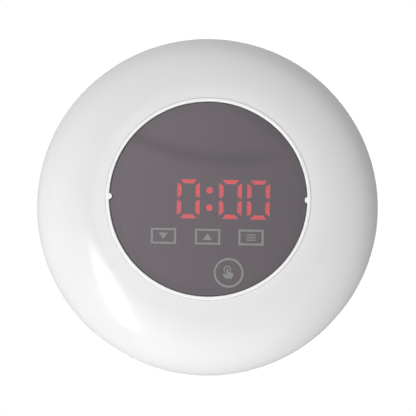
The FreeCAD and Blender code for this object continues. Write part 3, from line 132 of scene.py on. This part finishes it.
def metal(name, colour, roughness, streak=(40.0, 40.0, 900.0)):
    """Plated or drawn metal with fine drawing marks."""
    material, nodes, shader = new_material(name)
    coords = nodes.add("ShaderNodeTexCoord")
    mapping = nodes.add("ShaderNodeMapping")
    mapping.inputs["Scale"].default_value = streak
    nodes.link(coords, "Object", mapping, "Vector")
    marks = nodes.add("ShaderNodeTexNoise")
    marks.inputs["Scale"].default_value = 8.0
    marks.inputs["Detail"].default_value = 4.0
    nodes.link(mapping, "Vector", marks, "Vector")
    shade = ramp(nodes, marks, "Fac", [(0.25, tint(colour, 0.82)), (0.75, tint(colour, 1.08))])
    nodes.link(shade, "Color", shader, "Base Color")
    gloss = ramp(nodes, marks, "Fac", [(0.2, grey(roughness * 0.7)), (0.8, grey(roughness * 1.4))])
    nodes.link(gloss, "Color", shader, "Roughness")
    shader.inputs["Metallic"].default_value = 1.0
    bump(nodes, shader, marks, "Fac", 0.15, 0.02 * MM)
    return material


def glowing(name, colour, glow, strength):
    """A lit light guide: a milky body with slightly uneven light from the dice behind it."""
    material, nodes, shader = new_material(name)
    light = mottle(nodes, noise(nodes, 420.0, 2.0), tint(glow, 0.80), glow)
    nodes.link(light, "Color", shader, "Emission Color")
    shader.inputs["Emission Strength"].default_value = strength
    shade = mottle(nodes, noise(nodes, 300.0), tint(colour, 0.9), colour)
    nodes.link(shade, "Color", shader, "Base Color")
    shader.inputs["Roughness"].default_value = 0.4
    return material


def smoked_mirror(name):
    """Half-mirror window: a strong front reflection over a dark clear body."""
    material, nodes, shader = new_material(name)
    haze = mottle(nodes, noise(nodes, 12.0), *WINDOW_HAZE)
    nodes.link(haze, "Color", shader, "Base Color")
    shader.inputs["Transmission Weight"].default_value = 1.0
    shader.inputs["Roughness"].default_value = 0.0
    shader.inputs["IOR"].default_value = WINDOW_IOR
    return material


def circuit(name, mask, copper):
    """Solder mask over a net of tracks."""
    material, nodes, shader = new_material(name)
    coords = nodes.add("ShaderNodeTexCoord")
    cells = nodes.add("ShaderNodeTexBrick")
    cells.offset = 0.37
    cells.squash = 1.7
    tracks = {"Scale": 260.0, "Mortar Size": 0.035, "Brick Width": 0.9, "Row Height": 0.34}
    for socket, value in tracks.items():
        cells.inputs[socket].default_value = value
    turn = nodes.add("ShaderNodeMapping")
    turn.inputs["Rotation"].default_value = (math.radians(90), 0, 0)
    nodes.link(coords, "Object", turn, "Vector")
    nodes.link(turn, "Vector", cells, "Vector")
    shade = ramp(nodes, cells, "Fac", [(0.35, mask), (0.65, copper)])
    nodes.link(shade, "Color", shader, "Base Color")
    shader.inputs["Roughness"].default_value = 0.32
    bump(nodes, shader, cells, "Fac", 0.4, 0.04 * MM)
    return material


def cell_wrap(name, jacket, band, steel, band_from, band_to):
    """A printed metal jacket: dark body, a bright band at the button end, bare steel past the rolls."""
    material, nodes, shader = new_material(name)
    coords = nodes.add("ShaderNodeTexCoord")
    split = nodes.add("ShaderNodeSeparateXYZ")
    nodes.link(coords, "Object", split, "Vector")
    place = nodes.add("ShaderNodeMapRange")
    place.inputs["From Min"].default_value = band_from
    place.inputs["From Max"].default_value = band_to
    nodes.link(split, "X", place, "Value")
    shade = nodes.add("ShaderNodeValToRGB")
    shade.color_ramp.interpolation = "CONSTANT"
    set_stops(shade, list(zip(CELL_EDGES, (steel, jacket, band, jacket, steel))))
    nodes.link(place, "Result", shade, "Fac")
    nodes.link(shade, "Color", shader, "Base Color")
    shader.inputs["Metallic"].default_value = 0.75
    gloss = mottle(nodes, noise(nodes, 500.0), grey(0.22), grey(0.34))
    nodes.link(gloss, "Color", shader, "Roughness")
    return material


WHITE = (0.80, 0.80, 0.803)
SATIN = (0.78, 0.78, 0.79)
BLACK = (0.012, 0.012, 0.014)
GREEN = (0.012, 0.10, 0.040)
STEEL = (0.60, 0.60, 0.59)
WINDOW_HAZE = ((0.053, 0.047, 0.053), (0.057, 0.051, 0.057))
WINDOW_IOR = 2.15

# a cell's jacket, band and bare steel, and where each begins along the cell
CELL_COLOURS = ((0.02, 0.05, 0.03), (0.55, 0.33, 0.10), (0.62, 0.62, 0.60))
CELL_EDGES = (0.0, 0.02, 0.70, 0.955, 0.965)

# the finish of each material slot in the record
slots = {
    "white_gloss": moulded(
        "dome_gloss", WHITE, roughness=0.10, spread=0.006, grain=700.0, depth=0.004 * MM,
        cloud=25.0, rough_spread=0.01, grain_strength=0.1,
    ),
    "white_satin": moulded(
        "back_satin", SATIN, roughness=0.42, spread=0.015, grain=1600.0, depth=0.03 * MM, grain_strength=0.5,
    ),
    "ring_white": moulded(
        "ring_gloss", (0.92, 0.92, 0.92), roughness=0.18, spread=0.006, grain=900.0, depth=0.004 * MM,
        rough_spread=0.02, grain_strength=0.1,
    ),
    "window_smoke": smoked_mirror("window_half_mirror"),
    "gasket_foam": moulded(
        "foam_black", (0.02, 0.02, 0.02), roughness=0.9, spread=0.3, grain=1400.0, depth=0.2 * MM,
        grain_strength=0.8,
    ),
    "legend_ink": moulded(
        "printed_ink", (0.250, 0.256, 0.250), roughness=0.55, spread=0.05, grain=2500.0, depth=0.01 * MM,
        cloud=900.0,
    ),
    "display_black": moulded(
        "display_matt", BLACK, roughness=0.6, spread=0.1, grain=1500.0, depth=0.02 * MM,
    ),
    "segment_lit": glowing(
        "segment_glow", colour=(0.5, 0.02, 0.03), glow=(1.0, 0.004, 0.012), strength=12.0,
    ),
    "segment_dark": moulded(
        "segment_smoked", (0.012, 0.010, 0.012), roughness=0.35, spread=0.1, grain=800.0, depth=0.01 * MM,
    ),
    "led_chip": moulded(
        "led_dice", (0.70, 0.60, 0.25), roughness=0.3, spread=0.1, grain=2500.0, depth=0.01 * MM,
    ),
    "board_green": circuit("board_mask", mask=GREEN, copper=(0.03, 0.19, 0.085)),
    "chip_black": moulded(
        "chip_epoxy", (0.02, 0.02, 0.021), roughness=0.65, spread=0.15, grain=2200.0, depth=0.03 * MM,
    ),
    "tinned_metal": metal("tin_plate", (0.72, 0.72, 0.70), roughness=0.22),
    "screw_steel": metal("zinc_steel", STEEL, roughness=0.30, streak=(200.0, 30.0, 200.0)),
    "spring_steel": metal("spring_wire", (0.62, 0.60, 0.57), roughness=0.25, streak=(300.0, 300.0, 60.0)),
    "can_aluminium": metal("can_skin", (0.70, 0.71, 0.73), roughness=0.28, streak=(30.0, 500.0, 30.0)),
    "pad_rubber": moulded(
        "pad_soft", (0.035, 0.035, 0.037), roughness=0.75, spread=0.15, grain=1300.0, depth=0.08 * MM,
        grain_strength=0.6,
    ),
    "door_foam": moulded(
        "foam_grey", (0.06, 0.06, 0.065), roughness=0.95, spread=0.3, grain=1100.0, depth=0.3 * MM,
        grain_strength=0.9,
    ),
    "speaker_metal": moulded(
        "speaker_paint", (0.02, 0.02, 0.022), roughness=0.35, spread=0.1, grain=800.0, depth=0.01 * MM,
    ),
    "speaker_paper": moulded(
        "cone_paper", (0.018, 0.017, 0.016), roughness=0.85, spread=0.35, grain=700.0, depth=0.1 * MM,
        grain_strength=0.8,
    ),
    "magnet_ferrite": metal("magnet_cup", (0.30, 0.30, 0.31), roughness=0.35, streak=(60.0, 60.0, 60.0)),
    "switch_black": moulded(
        "switch_matt", (0.015, 0.015, 0.017), roughness=0.42, spread=0.1, grain=1500.0, depth=0.02 * MM,
    ),
    "wire_red": sleeve("sleeve_red", (0.42, 0.012, 0.012)),
    "wire_black": sleeve("sleeve_black", (0.012, 0.012, 0.012)),
    "wire_grey": sleeve("sleeve_grey", (0.16, 0.16, 0.165)),
    "ribbon_white": moulded(
        "ribbon_skin", (0.62, 0.62, 0.60), roughness=0.35, spread=0.04, grain=600.0, depth=0.01 * MM,
    ),
}


def dress(node_name, material):
    item = frame["nodes"][node_name]
    if not item.material_slots:
        item.data.materials.append(material)
    for entry in item.material_slots:
        entry.material = material


for part in frame["record"]["subparts"]:
    if part["material_slot"] in slots:
        dress(part["node"], slots[part["material_slot"]])
for number, flipped in ((1, True), (2, False), (3, True)):
    low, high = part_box(f"battery_cell_{number}")
    ends = (high[0], low[0]) if flipped else (low[0], high[0])
    dress(f"battery_cell_{number}", cell_wrap(f"cell_jacket_{number}", *CELL_COLOURS, *ends))

# ------------------------------------------------------------------ camera

# angles in degrees, places and distance in metres, lens in millimetres
CAMERA_AZIMUTH = -0.4
CAMERA_ELEVATION = -9.7
CAMERA_ROLL = 1.08
CAMERA_DISTANCE = 1.121
CAMERA_TARGET = (0.0001, -0.019, -0.0013)
LENS = 190.3


def away_from_object(azimuth, elevation):
    """Unit vector away from the object: azimuth 0 is in front, positive to the right."""
    az, el = math.radians(azimuth), math.radians(elevation)
    return Vector((math.sin(az) * math.cos(el), -math.cos(az) * math.cos(el), math.sin(el)))


def aim(item, target, roll=0.0):
    direction = (Vector(target) - item.location).normalized()
    turn = direction.to_track_quat("-Z", "Y").to_matrix().to_4x4()
    item.matrix_world = Matrix.Translation(item.location) @ turn @ Matrix.Rotation(math.radians(roll), 4, "Z")


def camera_place():
    return Vector(CAMERA_TARGET) + away_from_object(CAMERA_AZIMUTH, CAMERA_ELEVATION) * CAMERA_DISTANCE


def make_camera():
    data = bpy.data.cameras.new("camera")
    data.lens = LENS
    data.sensor_width = 36.0
    data.clip_start = 0.01
    camera = bpy.data.objects.new("camera", data)
    scene.collection.objects.link(camera)
    camera.location = camera_place()
    aim(camera, CAMERA_TARGET, CAMERA_ROLL)
    scene.camera = camera


# ------------------------------------------------------------------ stage and light

FLOOR_DROP = 1.25
FLOOR_SIZE = 6.0

# the studio's glow by depth, from in front of the object to behind it, and from its left, right and top
ZONE_EDGES = (-1.0, -0.5, 0.0, 0.5, 0.85, 1.0)
ZONE_LEVELS = (0.1, 0.457, 0.0, 0.31, 0.37, 0.59)
WORLD_LOBES = (
    ((-1, 0, 0), 0.686),
    ((1, 0, 0), 0.05),
    ((0, 0, 1), 0.396),
)

# the card that the window mirrors: places on it run from -1 to 1 across the window
CARD_COLOUR = (1.0, 0.875, 0.975)
CARD_LEVEL = 1.02
CARD_FADE = (0.955, 0.985)
CARD_SLOPE = 0.15
FOLD_PLACE = (0.22, 0.40)
FOLD_CURVE = 0.22
FOLD_WIDTH = 0.12
FOLD_DEPTH = 0.15
FOLD_END = (0.35, 0.85)
CORNER_DIRECTION = (0.607, 0.794)
CORNER_FADE = (0.80, 1.02)
CORNER_DEPTH = 0.16

# an arch x(1 - x) has a mean of 1/6 over a side of a light
ARCH_GAIN = 6.0
# angles in degrees, sizes and distance in metres, power in watts
SOFTBOXES = {
    "softbox_left": dict(
        azimuth=-29.7, elevation=-21.6, distance=1.6, width=0.40, height=1.42,
        power=8.4, roll=-22.0, faded=True,
    ),
    "softbox_wide": dict(
        azimuth=-29.7, elevation=-22.6, distance=1.7, width=1.5, height=2.0,
        power=5.1, roll=-22.0, faded=True,
    ),
    "softbox_low": dict(azimuth=5.0, elevation=-62.0, distance=1.0, width=1.2, height=0.9, power=1.95),
    "softbox_back": dict(azimuth=172.0, elevation=8.0, distance=1.5, width=1.3, height=1.3, power=7.5),
}


def make_floor():
    mesh = bpy.data.meshes.new("studio_floor")
    work = bmesh.new()
    bmesh.ops.create_grid(work, x_segments=1, y_segments=1, size=FLOOR_SIZE)
    work.to_mesh(mesh)
    work.free()
    floor = bpy.data.objects.new("studio_floor", mesh)
    floor.location = (0, 0, -FLOOR_DROP)
    scene.collection.objects.link(floor)
    paper = moulded(
        "floor_pale", (0.86, 0.86, 0.86), roughness=0.7, spread=0.01, grain=40.0, depth=0.1 * MM, cloud=3.0,
    )
    mesh.materials.append(paper)


def calc(nodes, operation, *values):
    """One step of arithmetic on sockets or plain numbers."""
    node = nodes.add("ShaderNodeMath", operation=operation)
    for socket, value in zip(node.inputs, values):
        if isinstance(value, (int, float)):
            socket.default_value = value
        else:
            nodes.join(value, socket)
    return node.outputs[0]


def between(nodes, value, start, end, low=0.0, high=1.0, smooth=False):
    """Maps a value from start..end to low..high and holds it at the ends."""
    place = nodes.add("ShaderNodeMapRange", interpolation_type="SMOOTHSTEP" if smooth else "LINEAR")
    for socket, number in (("From Min", start), ("From Max", end), ("To Min", low), ("To Max", high)):
        place.inputs[socket].default_value = number
    nodes.join(value, place.inputs["Value"])
    return place.outputs["Result"]


def facing(nodes, coords, direction):
    dot = nodes.add("ShaderNodeVectorMath", operation="DOT_PRODUCT")
    dot.inputs[1].default_value = direction
    nodes.link(coords, "Generated", dot, 0)
    return dot.outputs["Value"]


def lobe(nodes, coords, direction, strength):
    """A broad glow from one side."""
    clipped = calc(nodes, "MAXIMUM", facing(nodes, coords, direction), 0.0)
    return calc(nodes, "MULTIPLY", calc(nodes, "MULTIPLY", clipped, clipped), strength)


def zones(nodes, coords):
    """Brightness from front to back of the studio."""
    peak = max(ZONE_LEVELS)
    stops = [((edge + 1) / 2, grey(level / peak)) for edge, level in zip(ZONE_EDGES, ZONE_LEVELS)]
    depth = nodes.add("ShaderNodeValToRGB")
    nodes.join(between(nodes, facing(nodes, coords, (0, 1, 0)), -1.0, 1.0), depth.inputs["Fac"])
    set_stops(depth, stops)
    return calc(nodes, "MULTIPLY", depth.outputs["Color"], peak)


def card(nodes, coords):
    """The pale card in front of the object that its window mirrors, with one soft fold and a dim corner."""
    low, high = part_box("display_lens")
    pane = Vector(((low[0] + high[0]) / 2, low[1], (low[2] + high[2]) / 2))
    sight = pane - camera_place()
    middle = Vector((sight.x, -sight.y, sight.z)).normalized()
    span = (high[0] - low[0]) / 2 / sight.length
    up = (Vector((0, 0, 1)) - middle * middle.z).normalized()
    across = facing(nodes, coords, up.cross(middle) / span)
    upward = facing(nodes, coords, up / span)
    lit = between(nodes, facing(nodes, coords, middle), *CARD_FADE, 0.0, CARD_LEVEL)
    slope = calc(nodes, "MULTIPLY_ADD", across, -CARD_SLOPE, 1.0)
    offset = calc(nodes, "SUBTRACT", across, FOLD_PLACE[0])
    curve = calc(nodes, "MULTIPLY_ADD", calc(nodes, "MULTIPLY", offset, offset), FOLD_CURVE, FOLD_PLACE[1])
    gap = calc(nodes, "ABSOLUTE", calc(nodes, "SUBTRACT", upward, curve))
    depth = between(nodes, across, *FOLD_END, FOLD_DEPTH, 0.0, smooth=True)
    crease = between(nodes, gap, 0.0, FOLD_WIDTH, 1.0, 0.0, smooth=True)
    fold = calc(nodes, "SUBTRACT", 1.0, calc(nodes, "MULTIPLY", depth, crease))
    reach = calc(nodes, "MULTIPLY", across, CORNER_DIRECTION[0])
    reach = calc(nodes, "MULTIPLY_ADD", upward, CORNER_DIRECTION[1], reach)
    corner = between(nodes, reach, *CORNER_FADE, 1.0, 1.0 - CORNER_DEPTH, smooth=True)
    shade = calc(nodes, "MULTIPLY", calc(nodes, "MULTIPLY", slope, fold), corner)
    return calc(nodes, "MULTIPLY", lit, shade)


def glow(nodes, level, colour):
    background = nodes.add("ShaderNodeBackground")
    background.inputs["Color"].default_value = (*colour, 1.0)
    if isinstance(level, float):
        background.inputs["Strength"].default_value = level
    else:
        nodes.join(level, background.inputs["Strength"])
    return background


def make_world():
    """A white studio with a softer or stronger glow from each side, seen as plain white behind the object."""
    world = bpy.data.worlds.new("studio_world")
    scene.world = world
    world.use_nodes = True
    nodes = Nodes(world.node_tree)
    coords = nodes.add("ShaderNodeTexCoord")
    level = zones(nodes, coords)
    for direction, strength in WORLD_LOBES:
        level = calc(nodes, "ADD", level, lobe(nodes, coords, direction, strength))
    studio = nodes.add("ShaderNodeAddShader")
    nodes.link(glow(nodes, level, (1.0, 1.0, 1.0)), "Background", studio, 0)
    nodes.link(glow(nodes, card(nodes, coords), CARD_COLOUR), "Background", studio, 1)
    mix = nodes.add("ShaderNodeMixShader")
    nodes.link(nodes.add("ShaderNodeLightPath"), "Is Camera Ray", mix, 0)
    nodes.link(studio, "Shader", mix, 1)
    nodes.link(glow(nodes, 1.0, (1.0, 1.0, 1.0)), "Background", mix, 2)
    nodes.link(mix, "Shader", nodes.add("ShaderNodeOutputWorld"), "Surface")


def fade_edges(data):
    """Makes a light fade from its middle to its edges and keeps its power."""
    data.use_nodes = True
    nodes = Nodes(data.node_tree)
    split = nodes.add("ShaderNodeSeparateXYZ")
    nodes.link(nodes.add("ShaderNodeNewGeometry"), "Parametric", split, "Vector")
    level = 1.0
    for axis in ("X", "Y"):
        side = split.outputs[axis]
        arch = calc(nodes, "MULTIPLY", side, calc(nodes, "SUBTRACT", 1.0, side))
        level = calc(nodes, "MULTIPLY", calc(nodes, "MULTIPLY", arch, ARCH_GAIN), level)
    emission = nodes.add("ShaderNodeEmission")
    nodes.join(level, emission.inputs["Strength"])
    nodes.link(emission, "Emission", nodes.add("ShaderNodeOutputLight"), "Surface")


def softbox(name, azimuth, elevation, distance, width, height, power, roll=0.0, faded=False):
    """An area light that faces the object."""
    data = bpy.data.lights.new(name, "AREA")
    data.shape = "RECTANGLE"
    data.size = width
    data.size_y = height
    data.energy = power
    if faded:
        fade_edges(data)
    item = bpy.data.objects.new(name, data)
    item.location = away_from_object(azimuth, elevation) * distance
    scene.collection.objects.link(item)
    aim(item, (0, 0, 0), roll)


make_camera()
make_floor()
make_world()
for box_name, settings in SOFTBOXES.items():
    softbox(box_name, **settings)
